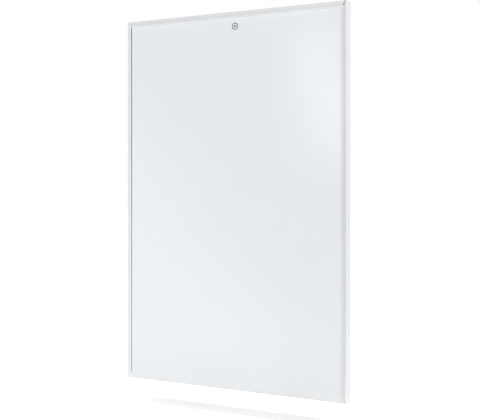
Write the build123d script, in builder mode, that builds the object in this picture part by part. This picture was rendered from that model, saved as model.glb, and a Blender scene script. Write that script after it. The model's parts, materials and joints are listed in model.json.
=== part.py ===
from build123d import *

import os

os.makedirs("parts", exist_ok=True)

# A framed infrared panel heater that hangs on two wall rails. Millimetres.
# The origin is the centre of the four wall screws, in the plane of the wall.
# +X is to the right seen from the front, +Z is up and the wall is at y = 0,
# so everything in front of the wall has a negative y.

# ---- overall sizes ----
heater_width = 600.0
heater_height = 900.0
frame_depth = 28.0
wall_gap = 22.0  # from the wall to the frame's rear edge

# ---- frame rails: extruded profiles whose front lips slope inwards, mitred at the corners ----
rail_wall = 1.6
side_lip = 8.5  # width of the lip on the two upright rails
end_lip = 13.0  # width of the lip on the top and bottom rails
lip_drop = 1.5  # how far the lips fall back towards the panel
lip_land = 2.6  # strip under the lip that presses the gasket
lip_radius = 0.3
chamber_front = 11.2  # depths are counted back from the frame's front
chamber_rear = 26.0
side_chamber = 15.0
outer_radius = 1.0
rear_radius = 0.6
mitre_gap = 0.6
key_fit = 0.2
key_leg = 36.0
grub_radius = 2.0
grub_reach = 30.0  # from the frame's outer edge along a key's leg
thread_fit = 0.1

# ---- radiant panel and heater sandwich ----
panel_edge_gap = 4.0  # room for the hot panel to grow, from the outer edge
gasket_thickness = 2.6
gasket_set_back = 0.4  # leaves a shadow line under the lip
gasket_width = 2.0
panel_sheet = 1.0
panel_edge_radius = 1.5
panel_corner_radius = 2.0
heater_margin = 24.0
mica_sheet = 0.5
ribbon_thickness = 0.2
ribbon_width = 18.0
ribbon_runs = 12
ribbon_border = 8.0
foil_thickness = 0.3
insulation_fit = 0.4

# ---- rear cover ----
cover_sheet = 1.0
cover_fit = 0.4
cover_corner_radius = 3.0
cover_screw_radius = 1.75
cover_screw_length = 8.0
cover_screw_inset = 8.0
cover_screw_head = 3.4
screw_head = 2.0  # height of the pan heads
cover_corner_pitch = 70.0  # from the frame's corner to the first screw
side_screws = 4
end_screws = 2
hole_fit = 0.4
bead_count = 3
bead_pitch = 150.0
bead_hanger_gap = 15.0  # between a bead's end and the lower hanger rail
bead_width = 16.0
bead_height = 0.9

# ---- hanging rails ----
wall_hole_inset_x = 100.0  # from the heater's outline to the wall screws
wall_hole_inset_z = 170.0
wall_hole_radius = 2.75
rail_sheet = 2.0
rail_end_margin = 20.0  # from a wall screw to the rail's end
rail_bend = 2.0  # radius at the middle of the sheet
rail_base = 33.0
rail_standoff = 10.5  # from the wall rail's base to its raised edge
hook_reach = 12.0
hook_play = 1.2
hook_ground_clearance = 1.0
rivet_count = 3
rivet_pitch = 160.0
rivet_radius = 2.0
rivet_head_radius = 4.0
rivet_head = 1.2
rivet_bulb_radius = 2.8
rivet_bulb = 2.5

# ---- connection box ----
box_from_right = 130.0  # from the heater's right edge to the box's middle
box_above_edge = 50.0  # from the heater's lower edge to the box
box_width = 120.0
box_height = 74.0
box_clearance = 3.0  # from the lid to the wall
box_wall = 2.0
box_corner_radius = 4.0
lid_thickness = 2.0
lid_rim = 1.2
lid_fit = 0.3
lid_boss_radius = 3.6
lid_boss_inset = 5.6
lid_screw_radius = 1.5
lid_screw_head = 2.9
lid_screw_length = 9.0
box_screw_radius = 1.6
box_screw_length = 6.0
box_screw_head = 3.0
box_screw_inset = 10.0
box_screw_rise = 24.0

# ---- wires and what they join ----
wire_radius = 1.2
wire_sides = 8
wire_bend = 6.0
terminal_bend = 3.6
channel_depth = 8.0
channel_width = 18.0
wire_depth = 4.5  # from the rear cover to the wires' middle
grommet_from_left = 18.0
grommet_radius = 8.0
grommet_flange = 1.2
grommet_overlap = 2.0
grommet_bore = 6.4
wire_spread = 9.0
block_width = 36.0
block_depth = 20.0
block_height = 14.0
block_from_left = 62.0  # from the box's left side to the block's middle
block_rise = 22.0
pole_pitch = 12.0
sleeve_side = 5.2
sleeve_bore = 1.7
clamp_radius = 1.3
clamp_well = 2.3
clamp_length = 4.0
wire_insertion = 4.0  # from the middle of the block to a wire's end
live_step = 9.0  # how far the live wire rises above the block
post_side = 8.0
post_length = 17.0
post_fit = 0.5
stud_radius = 2.0
stud_from_right = 15.0
nut_across = 7.0
lug_radius = 4.5
lug_thickness = 0.8
lug_reach = 10.0
nut_height = 3.2
stud_end = 1.0

# ---- thermal cut-outs ----
cutout_x = 60.0
cutout_radius = 7.2
cutout_cap_radius = 7.75
cutout_cap = 4.0
tab_thickness = 0.8
tab_width = 6.3
tab_inner = 1.5
tab_outer = 14.0
cutout_pocket_fit = 2.0
pad_side = 10.0

# ---- cable gland ----
gland_from_right = 30.0  # from the box's right side
gland_thread_radius = 6.0
gland_thread = 8.0
gland_across = 15.0
gland_flange = 5.0
gland_neck = 9.0
gland_nut = 13.0
gland_nut_wall = 1.6
gland_nut_gap = 1.0
dome_taper = 20.0
cord_radius = 3.3
seal_wall = 1.4
seal_length = 10.0
locknut = 4.0
gland_fit = 0.1
lead_room = 0.8  # round the lead, outside the seal
gland_notch = 20.0  # gap in the lid's rim for the locknut's corners

# ---- rocker switch ----
switch_from_left = 36.0  # from the box's left side
bezel_width = 21.4
bezel_depth = 15.0
bezel_thickness = 2.0
body_width = 19.4
body_depth = 12.8
body_length = 13.0
cavity_width = 18.2
cavity_depth = 10.4
pivot_inset = 5.0  # from the bezel's face to the rocker's pivot
cavity_length = 10.0
rocker_half = 8.0
rocker_tip = 6.6
rocker_valley = 5.2
rocker_root = 4.6
rocker_fit = 0.2
rocker_tilt = 8.0
axle_radius = 1.2
axle_length = 1.0
axle_fit = 0.05
switch_tab_spread = 9.0
switch_tab_width = 4.8
switch_tab_length = 7.0

# ---- places worked out from the sizes above ----
half_width = heater_width / 2
half_height = heater_height / 2
front_y = -(wall_gap + frame_depth)
end_chamber = side_chamber * end_lip / side_lip  # so that the chambers meet on the mitre
lip_depth = lip_drop + rail_wall
panel_front = lip_depth + gasket_thickness
panel_rear = panel_front + panel_sheet
panel_return = chamber_front - panel_front
ribbon_front = panel_rear + mica_sheet
ribbon_rear = ribbon_front + ribbon_thickness
rear_mica_rear = ribbon_rear + mica_sheet
foil_rear = rear_mica_rear + foil_thickness
cover_rear = chamber_rear + cover_sheet
cover_y = front_y + cover_rear
heated_width = heater_width - 2 * heater_margin
heated_height = heater_height - 2 * heater_margin
ribbon_pitch = (heated_width - 2 * ribbon_border - ribbon_width) / (ribbon_runs - 1)
ribbon_end_x = ribbon_pitch * (ribbon_runs - 1) / 2
ribbon_run = heated_height - 2 * ribbon_border
ribbon_end_z = -ribbon_run / 2 + ribbon_width / 2
wire_y = front_y + chamber_rear - wire_depth

wall_hole_spacing_x = heater_width - 2 * wall_hole_inset_x
wall_hole_spacing_z = heater_height - 2 * wall_hole_inset_z
rail_length = wall_hole_spacing_x + 2 * rail_end_margin
rail_hook_rise = hook_reach + hook_ground_clearance
wall_rail_y = -rail_sheet / 2
raised_edge_y = wall_rail_y - rail_standoff
hook_y = raised_edge_y + rail_sheet + hook_play
hanger_base_y = cover_y + rail_sheet / 2

box_x = half_width - box_from_right
box_bottom = -half_height + box_above_edge
box_z = box_bottom + box_height / 2
box_top = box_bottom + box_height
box_left = box_x - box_width / 2
box_right = box_x + box_width / 2
lid_y = -box_clearance - lid_thickness
box_floor_y = cover_y + box_wall
box_middle_y = (box_floor_y + lid_y) / 2
grommet_x = box_left + grommet_from_left
grommet_z = box_top - grommet_radius - grommet_overlap - box_wall - lid_rim - lid_fit
live_z = grommet_z - wire_spread / 2
neutral_z = grommet_z + wire_spread / 2
block_x = box_left + block_from_left
block_z = box_bottom + block_rise + block_depth / 2
block_top = block_z + block_depth / 2
stud_x = box_right - stud_from_right
gland_x = box_right - gland_from_right
switch_x = box_left + switch_from_left
switch_tab_z = box_bottom + body_length + switch_tab_length


def save(piece, name):
    piece.part.label = name
    export_step(piece.part, f"parts/{name}.step")


def front_plane(depth):
    """A plane facing the front, at a depth behind the frame's front: its axes are X and Z."""
    return Plane(origin=(0, front_y + depth, 0), x_dir=(1, 0, 0), z_dir=(0, -1, 0))


def rear_spots(spots, y):
    """Planes facing the wall at (x, z) spots, for screws, rivets and nuts put in from behind."""
    return [Plane(origin=(x, y, z), x_dir=(1, 0, 0), z_dir=(0, 1, 0)) for x, z in spots]


def slab(front, thickness, width, height, centre=(0, 0), mode=Mode.ADD):
    """A flat rectangle of material, from a depth and thickness, in the part being built."""
    with BuildSketch(front_plane(front)) as outline:
        with Locations(centre):
            Rectangle(width, height)
    extrude(outline.sketch, amount=-thickness, mode=mode)


def round_holes(spots, radius, front, thickness):
    """Round holes at (x, z) spots, between two depths, in the part being built."""
    with BuildSketch(front_plane(front)) as outline:
        with Locations(*spots):
            Circle(radius)
    extrude(outline.sketch, amount=-thickness, mode=Mode.SUBTRACT)


def turned(points):
    """A turned piece from its half profile: radius and height along its axis."""
    with BuildPart() as piece:
        with BuildSketch(Plane.XZ):
            with BuildLine():
                Polyline(*points, close=True)
            make_face()
        revolve(axis=Axis.Z)
    return piece.part


def pan_screw(radius, length, head_radius):
    """A pan-head screw whose head stands above local z = 0."""
    return turned(
        [
            (0, -length),
            (radius, -length),
            (radius, 0),
            (head_radius, 0),
            (head_radius, screw_head),
            (0, screw_head),
        ]
    )


def spread(count, pitch):
    """Evenly spaced places about zero."""
    return [(index - (count - 1) / 2) * pitch for index in range(count)]


# Screws that hold the rear cover: a row along each rail's chamber.
side_pitch = (heater_height - 2 * cover_corner_pitch) / (side_screws - 1)
end_pitch = (heater_width - 2 * cover_corner_pitch) / (end_screws - 1)
side_spots = [
    (side * (half_width - cover_screw_inset), z)
    for side in (-1, 1)
    for z in spread(side_screws, side_pitch)
]
end_spots = [
    (x, side * (half_height - cover_screw_inset))
    for side in (-1, 1)
    for x in spread(end_screws, end_pitch)
]
cover_spots = side_spots + end_spots

# Grub screws that lock the corner keys, one in each leg.
key_spots = [
    (sign_x * (half_width - inset_x), sign_z * (half_height - inset_z))
    for sign_x in (-1, 1)
    for sign_z in (-1, 1)
    for inset_x, inset_z in ((grub_reach, end_chamber / 2), (side_chamber / 2, grub_reach))
]


# ---- frame rails ----
def frame_rail(inward, half_span, length, lip, other_lip, chamber):
    """One rail of the frame. Its profile is drawn as (depth, distance in from the edge)."""
    along = Vector(0, 1, 0).cross(inward)
    middle = Vector(0, front_y, 0) - inward * half_span
    outline = [
        ((0, 0), outer_radius),
        ((frame_depth, 0), rear_radius),
        ((frame_depth, rail_wall), 0),
        ((chamber_rear, rail_wall), 0),
        ((chamber_rear, chamber), rear_radius),
        ((chamber_front, chamber), rear_radius),
        ((chamber_front, rail_wall), 0),
        ((rail_wall + lip_drop * rail_wall / lip, rail_wall), 0),
        ((lip_depth, lip - lip_land), 0),
        ((lip_depth, lip), 0),
        ((lip_drop, lip), lip_radius),
    ]
    with BuildPart() as rail:
        with BuildSketch(Plane(origin=middle, x_dir=(0, 1, 0), z_dir=along)):
            with BuildLine():
                FilletPolyline(
                    *[point for point, _ in outline],
                    radius=[radius for _, radius in outline],
                    close=True,
                )
            make_face()
            with Locations(((chamber_front + chamber_rear) / 2, chamber / 2)):
                Rectangle(
                    chamber_rear - chamber_front - 2 * rail_wall,
                    chamber - 2 * rail_wall,
                    mode=Mode.SUBTRACT,
                )
        extrude(amount=length / 2, both=True)
        for end in (-1, 1):
            joint = middle + along * (end * (length - mitre_gap) / 2)
            facing = along * (-end * lip) - inward * other_lip
            split(bisect_by=Plane(origin=joint, z_dir=facing), keep=Keep.TOP)
        round_holes(cover_spots, cover_screw_radius + thread_fit, chamber_rear, -rail_wall)
        round_holes(key_spots, grub_radius + thread_fit, chamber_rear, -rail_wall)
    return rail


up = Vector(0, 0, 1)
right = Vector(1, 0, 0)
for inward, name in ((-up, "top_rail"), (up, "bottom_rail")):
    save(frame_rail(inward, half_height, heater_width, end_lip, side_lip, end_chamber), name)
for inward, name in ((-right, "right_rail"), (right, "left_rail")):
    save(frame_rail(inward, half_width, heater_height, side_lip, end_lip, side_chamber), name)

# ---- corner keys: die-cast angles that slide into the rails' chambers ----
key_front = chamber_front + rail_wall + key_fit
key_depth = chamber_rear - chamber_front - 2 * (rail_wall + key_fit)
key_corner = rail_wall + key_fit
side_key = side_chamber - 2 * key_corner
end_key = end_chamber - key_corner * (1 + end_lip / side_lip)
with BuildPart() as corner_keys:
    with BuildSketch(front_plane(key_front)):
        with Locations((half_width - key_corner, half_height - key_corner)):
            Rectangle(key_leg, end_key, align=(Align.MAX, Align.MAX))
            Rectangle(side_key, key_leg, align=(Align.MAX, Align.MAX))
    extrude(amount=-key_depth)
    for across in (Axis.X, Axis.Z):
        chamfer(edges().filter_by(Axis.Y).sort_by(across)[:2], length=rail_wall / 2)
    mirror(about=Plane.YZ)
    mirror(about=Plane.XY)
save(corner_keys, "corner_keys")

# The grub screws go through the rails' rear walls and press on the keys.
with BuildPart() as key_grub_screws:
    with BuildSketch(front_plane(chamber_rear)):
        with Locations(*key_spots):
            Circle(grub_radius)
    extrude(amount=key_corner)
save(key_grub_screws, "key_grub_screws")

# ---- radiant panel: a sheet tray with its edges folded back to the chamber ----
panel_width = heater_width - 2 * panel_edge_gap
panel_height = heater_height - 2 * panel_edge_gap
with BuildPart() as radiant_panel:
    with BuildSketch(front_plane(panel_front)):
        RectangleRounded(panel_width, panel_height, panel_corner_radius)
    extrude(amount=-panel_return)
    fillet(edges().group_by(Axis.Y)[0], radius=panel_edge_radius)
    offset(amount=-panel_sheet, openings=faces().sort_by(Axis.Y)[-1])
save(radiant_panel, "radiant_panel")

gasket_inner_width = heater_width - 2 * (side_lip - gasket_set_back)
gasket_inner_height = heater_height - 2 * (end_lip - gasket_set_back)
with BuildPart() as panel_gasket:
    with BuildSketch(front_plane(lip_depth)):
        Rectangle(gasket_inner_width + 2 * gasket_width, gasket_inner_height + 2 * gasket_width)
        Rectangle(gasket_inner_width, gasket_inner_height, mode=Mode.SUBTRACT)
    extrude(amount=-gasket_thickness)
save(panel_gasket, "panel_gasket")

# ---- heater sandwich ----
post_spots = [(-ribbon_end_x, ribbon_end_z), (ribbon_end_x, ribbon_end_z)]
post_hole = post_side + 2 * post_fit

with BuildPart() as front_mica:
    slab(panel_rear, mica_sheet, heated_width, heated_height)
save(front_mica, "front_mica_sheet")

with BuildPart() as ribbon:
    with BuildSketch(front_plane(ribbon_front)):
        with GridLocations(ribbon_pitch, 0, ribbon_runs, 1):
            Rectangle(ribbon_width, ribbon_run)
        for index, x in enumerate(spread(ribbon_runs - 1, ribbon_pitch)):
            end = 1 if index % 2 == 0 else -1
            with Locations((x, end * (ribbon_run - ribbon_width) / 2)):
                Rectangle(ribbon_pitch, ribbon_width)
    extrude(amount=-ribbon_thickness)
save(ribbon, "heating_ribbon")

with BuildPart() as rear_mica:
    slab(ribbon_rear, mica_sheet, heated_width, heated_height)
    for spot in post_spots:
        slab(ribbon_rear, mica_sheet, post_hole, post_hole, spot, Mode.SUBTRACT)
save(rear_mica, "rear_mica_sheet")

with BuildPart() as posts:
    for spot in post_spots:
        slab(ribbon_rear, post_length, post_side, post_side, spot)
    fillet(edges().filter_by(Axis.Y), radius=post_side / 10)
save(posts, "ribbon_terminals")

with BuildPart() as foil:
    slab(rear_mica_rear, foil_thickness, heated_width, heated_height)
    for spot in post_spots:
        slab(rear_mica_rear, foil_thickness, post_hole, post_hole, spot, Mode.SUBTRACT)
save(foil, "reflector_foil")

# ---- hanging rails: bent steel sections, drawn as (y, z) at the middle of the sheet ----
rail_spots = {
    "upper": wall_hole_spacing_z / 2,
    "lower": -wall_hole_spacing_z / 2,
}
rivet_spots = []
for place, hole_z in rail_spots.items():
    base_bottom = hole_z - rail_base / 2
    web_z = base_bottom + rail_base
    edge_top = web_z + rail_sheet / 2 + rail_hook_rise
    hanger_web_z = edge_top + rail_sheet / 2
    with BuildPart() as wall_rail:
        with BuildSketch(Plane.YZ):
            with BuildLine():
                FilletPolyline(
                    (wall_rail_y, base_bottom),
                    (wall_rail_y, web_z),
                    (raised_edge_y, web_z),
                    (raised_edge_y, edge_top),
                    radius=rail_bend,
                )
            trace(line_width=rail_sheet)
        extrude(amount=rail_length / 2, both=True)
        hole_spots = [(x, hole_z) for x in spread(2, wall_hole_spacing_x)]
        with Locations(*rear_spots(hole_spots, 0)):
            Hole(wall_hole_radius, depth=rail_sheet)
    save(wall_rail, f"{place}_wall_rail")

    hanger_top = hanger_web_z + rail_base
    rivets = [(x, hanger_top - rail_base / 2) for x in spread(rivet_count, rivet_pitch)]
    rivet_spots += rivets
    with BuildPart() as hanger:
        with BuildSketch(Plane.YZ):
            with BuildLine():
                FilletPolyline(
                    (hanger_base_y, hanger_top),
                    (hanger_base_y, hanger_web_z),
                    (hook_y, hanger_web_z),
                    (hook_y, edge_top - hook_reach),
                    radius=rail_bend,
                )
            trace(line_width=rail_sheet)
        extrude(amount=rail_length / 2, both=True)
        with Locations(*rear_spots(rivets, cover_y + rail_sheet)):
            Hole(rivet_radius + thread_fit, depth=rail_sheet)
    save(hanger, f"{place}_hanger_rail")

rivet = turned(
    [
        (0, -rail_sheet - cover_sheet - rivet_bulb),
        (rivet_bulb_radius, -rail_sheet - cover_sheet - rivet_bulb),
        (rivet_bulb_radius, -rail_sheet - cover_sheet),
        (rivet_radius, -rail_sheet - cover_sheet),
        (rivet_radius, 0),
        (rivet_head_radius, 0),
        (rivet_head_radius / 2, rivet_head),
        (0, rivet_head),
    ]
)
with BuildPart() as hanger_rivets:
    with Locations(*rear_spots(rivet_spots, cover_y + rail_sheet)):
        add(rivet)
save(hanger_rivets, "hanger_rivets")

# ---- rear cover: thin sheet with pressed beads, sunk into the frame's rear edge ----
box_screw_spots = [
    (box_x + x, box_bottom + box_screw_rise) for x in spread(2, box_width - 2 * box_screw_inset)
]
bead_length = -2 * (hanger_top + bead_hanger_gap)  # from the lower rail, which was made last
cover_width = heater_width - 2 * (rail_wall + cover_fit)
cover_height = heater_height - 2 * (rail_wall + cover_fit)
with BuildPart() as rear_cover:
    with BuildSketch(front_plane(chamber_rear)):
        RectangleRounded(cover_width, cover_height, cover_corner_radius)
    extrude(amount=-cover_sheet)
    with BuildSketch(front_plane(cover_rear)):
        with GridLocations(bead_pitch, 0, bead_count, 1):
            SlotOverall(bead_length, bead_width, rotation=90)
    extrude(amount=-bead_height)
    with BuildSketch(front_plane(chamber_rear)):
        with GridLocations(bead_pitch, 0, bead_count, 1):
            SlotOverall(bead_length - 2 * cover_sheet, bead_width - 2 * cover_sheet, rotation=90)
    extrude(amount=-bead_height, mode=Mode.SUBTRACT)
    round_holes(cover_spots, cover_screw_radius + hole_fit, chamber_rear, cover_sheet)
    round_holes(rivet_spots, rivet_radius + thread_fit, chamber_rear, cover_sheet)
    round_holes(box_screw_spots, box_screw_radius + thread_fit, chamber_rear, cover_sheet)
    round_holes([(grommet_x, grommet_z)], grommet_radius, chamber_rear, cover_sheet)
save(rear_cover, "rear_cover")

cover_screw = pan_screw(cover_screw_radius, cover_screw_length, cover_screw_head)
with BuildPart() as rear_cover_screws:
    with Locations(*rear_spots(cover_spots, cover_y)):
        add(cover_screw)
save(rear_cover_screws, "rear_cover_screws")

# ---- insulation board: cut for the wires, the posts, the cut-outs, the rivets and the screws ----
cutout_spots = [(-cutout_x, live_z), (cutout_x, live_z)]
board_width = heater_width - 2 * (side_chamber + insulation_fit)
board_height = heater_height - 2 * (end_chamber + insulation_fit)
board_thickness = chamber_rear - foil_rear
channel_front = chamber_rear - channel_depth
with BuildPart() as insulation:
    slab(foil_rear, board_thickness, board_width, board_height)
    channel_length = 2 * ribbon_end_x + channel_width
    slab(channel_front, channel_depth, channel_length, channel_width, (0, grommet_z), Mode.SUBTRACT)
    drop = grommet_z - ribbon_end_z + post_hole / 2
    for x, z in post_spots:
        drop_middle = (x, grommet_z - drop / 2)
        slab(channel_front, channel_depth, channel_width, drop, drop_middle, Mode.SUBTRACT)
        slab(foil_rear, board_thickness, post_hole, post_hole, (x, z), Mode.SUBTRACT)
    pocket_width = 2 * (tab_outer + cutout_pocket_fit)
    pocket_height = 2 * (cutout_cap_radius + cutout_pocket_fit)
    for spot in cutout_spots:
        slab(foil_rear, board_thickness, pocket_width, pocket_height, spot, Mode.SUBTRACT)
    grommet_pocket = 2 * (grommet_radius + grommet_overlap + post_fit)
    grommet_spot = (grommet_x, grommet_z)
    slab(channel_front, channel_depth, grommet_pocket, grommet_pocket, grommet_spot, Mode.SUBTRACT)
    pocket_depth = max(rivet_bulb, box_screw_length - box_wall - cover_sheet) + post_fit
    pocket_side = 2 * (rivet_bulb_radius + post_fit)
    for spot in rivet_spots + box_screw_spots:
        slab(chamber_rear - pocket_depth, pocket_depth, pocket_side, pocket_side, spot, Mode.SUBTRACT)
save(insulation, "insulation_board")

# ---- thermal cut-outs: bimetal discs pressed on the foil, wired in series ----
cap_rear = foil_rear + cutout_cap
tab_front = chamber_rear - wire_depth - tab_thickness / 2
with BuildPart() as cutout_caps:
    with BuildSketch(front_plane(foil_rear)):
        with Locations(*cutout_spots):
            Circle(cutout_cap_radius)
    extrude(amount=-cutout_cap)
save(cutout_caps, "cutout_caps")

with BuildPart() as cutout_bodies:
    with BuildSketch(front_plane(cap_rear)):
        with Locations(*cutout_spots):
            Circle(cutout_radius)
    extrude(amount=cap_rear - tab_front)
save(cutout_bodies, "cutout_bodies")

tab_length = tab_outer - tab_inner
tab_middle = (tab_outer + tab_inner) / 2
with BuildPart() as cutout_tabs:
    for x, z in cutout_spots:
        for side in (-1, 1):
            tab_spot = (x + side * tab_middle, z)
            slab(tab_front, tab_thickness, tab_length, tab_width, tab_spot)
save(cutout_tabs, "cutout_tabs")

with BuildPart() as cutout_pads:
    pad_front = tab_front + tab_thickness
    for spot in cutout_spots:
        slab(pad_front, chamber_rear - pad_front, pad_side, pad_side, spot)
save(cutout_pads, "cutout_pads")

# ---- connection box: an open tray on the rear cover, closed by a lid on the wall side ----
boss_spots = [
    (box_x + x, box_z + z)
    for x in spread(2, box_width - 2 * lid_boss_inset)
    for z in spread(2, box_height - 2 * lid_boss_inset)
]
box_depth = lid_y - cover_y
with BuildPart() as connection_box:
    with BuildSketch(front_plane(cover_rear)):
        with Locations((box_x, box_z)):
            RectangleRounded(box_width, box_height, box_corner_radius)
    extrude(amount=-box_depth)
    offset(amount=-box_wall, openings=faces().sort_by(Axis.Y)[-1])
    with BuildSketch(front_plane(cover_rear + box_wall)):
        with Locations(*boss_spots):
            Circle(lid_boss_radius)
    extrude(amount=-(box_depth - box_wall - lid_rim - lid_fit))
    boss_front = cover_rear + box_depth - lid_screw_length
    round_holes(boss_spots, lid_screw_radius + thread_fit, boss_front, lid_screw_length)
    round_holes([(grommet_x, grommet_z)], grommet_radius, cover_rear, box_wall)
    round_holes([(stud_x, grommet_z)], stud_radius + hole_fit, cover_rear, box_wall)
    round_holes(box_screw_spots, box_screw_radius + hole_fit, cover_rear, box_wall)
    with BuildSketch(Plane.XY.offset(box_bottom)):
        with Locations((gland_x, box_middle_y)):
            Circle(gland_thread_radius + gland_fit)
        with Locations((switch_x, box_middle_y)):
            Rectangle(body_width + 2 * rocker_fit, body_depth + 2 * rocker_fit)
    extrude(amount=box_wall, mode=Mode.SUBTRACT)
save(connection_box, "connection_box")

# The lid closes the tray with a short rim inside its walls.
lid_front = lid_y - front_y
lid_rear = lid_front + lid_thickness
rim_width = box_width - 2 * (box_wall + lid_fit)
rim_height = box_height - 2 * (box_wall + lid_fit)
with BuildPart() as box_lid:
    with BuildSketch(front_plane(lid_rear)):
        with Locations((box_x, box_z)):
            RectangleRounded(box_width, box_height, box_corner_radius)
    extrude(amount=lid_thickness)
    with BuildSketch(front_plane(lid_front)):
        with Locations((box_x, box_z)):
            RectangleRounded(rim_width, rim_height, box_corner_radius - box_wall)
            Rectangle(rim_width - 2 * lid_rim, rim_height - 2 * lid_rim, mode=Mode.SUBTRACT)
        with Locations((gland_x, box_bottom + box_wall)):
            Rectangle(gland_notch, 2 * locknut, mode=Mode.SUBTRACT)
    extrude(amount=lid_rim)
    chamfer(faces().sort_by(Axis.Y)[-1].edges(), length=lid_thickness / 4)
    with Locations(*rear_spots(boss_spots, front_y + lid_rear)):
        CounterSinkHole(lid_screw_radius + hole_fit, lid_screw_head + thread_fit, counter_sink_angle=90)
save(box_lid, "box_lid")

lid_screw = turned(
    [
        (0, -lid_screw_length),
        (lid_screw_radius, -lid_screw_length),
        (lid_screw_radius, -lid_screw_head + lid_screw_radius),
        (lid_screw_head, 0),
        (0, 0),
    ]
)
with BuildPart() as lid_screws:
    with Locations(*rear_spots(boss_spots, front_y + lid_rear)):
        add(lid_screw)
save(lid_screws, "lid_screws")

box_screw = pan_screw(box_screw_radius, box_screw_length, box_screw_head)
with BuildPart() as box_screws:
    with Locations(*rear_spots(box_screw_spots, box_floor_y)):
        add(box_screw)
save(box_screws, "box_screws")

# ---- wire grommet: a soft ring that lines the way from the box into the heater ----
grommet_grip = cover_sheet + box_wall
grommet_edge = grommet_radius + grommet_overlap
with BuildPart() as wire_grommet:
    with BuildSketch(front_plane(chamber_rear)):
        with Locations((grommet_x, grommet_z)):
            Circle(grommet_radius - thread_fit)
    extrude(amount=-grommet_grip)
    for flange_front in (chamber_rear - grommet_flange, chamber_rear + grommet_grip):
        with BuildSketch(front_plane(flange_front)):
            with Locations((grommet_x, grommet_z)):
                Circle(grommet_edge)
        extrude(amount=-grommet_flange)
    bore_front = chamber_rear - grommet_flange
    bore_length = grommet_grip + 2 * grommet_flange
    round_holes([(grommet_x, grommet_z)], grommet_bore, bore_front, bore_length)
save(wire_grommet, "wire_grommet")

# ---- terminal block: three brass sleeves in a moulded body ----
pole_spots = spread(3, pole_pitch)
block_front = cover_rear + box_wall
block_plane = Plane(origin=(block_x, box_middle_y, block_z - block_depth / 2))
clamp_spots = [
    (block_x + x, block_z + z) for x in pole_spots for z in spread(2, block_depth / 2)
]
with BuildPart() as terminal_block:
    slab(block_front, block_height, block_width, block_depth, (block_x, block_z))
    for x in spread(2, pole_pitch):
        slot_front = block_front + block_height / 2
        slot_spot = (block_x + x, block_z)
        slab(slot_front, block_height / 2, pole_pitch / 8, block_depth, slot_spot, Mode.SUBTRACT)
    with BuildSketch(block_plane):
        with Locations(*[(x, 0) for x in pole_spots]):
            Rectangle(sleeve_side + 2 * thread_fit, sleeve_side + 2 * thread_fit)
    extrude(amount=block_depth, mode=Mode.SUBTRACT)
    round_holes(clamp_spots, clamp_well, box_middle_y - front_y, block_height)
save(terminal_block, "terminal_block")

with BuildPart() as terminal_sleeves:
    with BuildSketch(block_plane):
        with Locations(*[(x, 0) for x in pole_spots]):
            Rectangle(sleeve_side, sleeve_side)
            Circle(sleeve_bore, mode=Mode.SUBTRACT)
    extrude(amount=block_depth)
    round_holes(clamp_spots, clamp_radius + thread_fit, box_middle_y - front_y, block_height)
save(terminal_sleeves, "terminal_sleeves")

clamp_tip = wire_radius + thread_fit
with BuildPart() as clamp_screws:
    with Locations(*rear_spots(clamp_spots, box_middle_y + clamp_tip)):
        Cylinder(clamp_radius, clamp_length, align=(Align.CENTER, Align.CENTER, Align.MIN))
save(clamp_screws, "clamp_screws")

# ---- earth point: a stud welded to the cover, a spacer, a ring lug and a nut ----
lug_front_y = box_middle_y - lug_thickness / 2
lug_rear_y = box_middle_y + lug_thickness / 2
stud_spot = [(stud_x, grommet_z)]
lug_end_x = stud_x - lug_reach


def hexagon_on_stud(near_y, height):
    """A hexagonal nut or spacer on the earth stud."""
    with BuildPart() as piece:
        with BuildSketch(*rear_spots(stud_spot, near_y)):
            RegularPolygon(nut_across / 2, 6, major_radius=False)
            Circle(stud_radius + thread_fit, mode=Mode.SUBTRACT)
        extrude(amount=height)
    return piece


with BuildPart() as earth_stud:
    with BuildSketch(*rear_spots(stud_spot, cover_y)):
        Circle(stud_radius)
    extrude(amount=lug_rear_y + nut_height + stud_end - cover_y)
    chamfer(faces().sort_by(Axis.Y)[-1].edges(), length=stud_radius / 4)
save(earth_stud, "earth_stud")
save(hexagon_on_stud(box_floor_y, lug_front_y - box_floor_y), "earth_spacer")
save(hexagon_on_stud(lug_rear_y, nut_height), "earth_nut")

with BuildPart() as earth_lug:
    with BuildSketch(front_plane(lug_front_y - front_y)):
        with Locations(*stud_spot):
            Circle(lug_radius)
        with Locations(((stud_x + lug_end_x) / 2, grommet_z)):
            Rectangle(lug_reach, lug_radius)
        with Locations(*stud_spot):
            Circle(stud_radius + thread_fit, mode=Mode.SUBTRACT)
    extrude(amount=-lug_thickness)
save(earth_lug, "earth_lug")


# ---- inner wires: each follows straight runs joined by arcs ----
def wire(name, points, bends):
    with BuildPart() as piece:
        with BuildLine() as route:
            if len(points) > 2:
                FilletPolyline(*points, radius=bends)
            else:
                Line(*points)
        with BuildSketch(Plane(origin=route.line @ 0, z_dir=route.line % 0)) as section:
            RegularPolygon(wire_radius, wire_sides)
        sweep(path=route.wire())
    length = route.wire().length
    share = piece.part.volume / (length * section.sketch.area)
    print(f"{name}: {length:.0f} mm long, {share:.4f} of its section times its length")
    save(piece, name)


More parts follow.
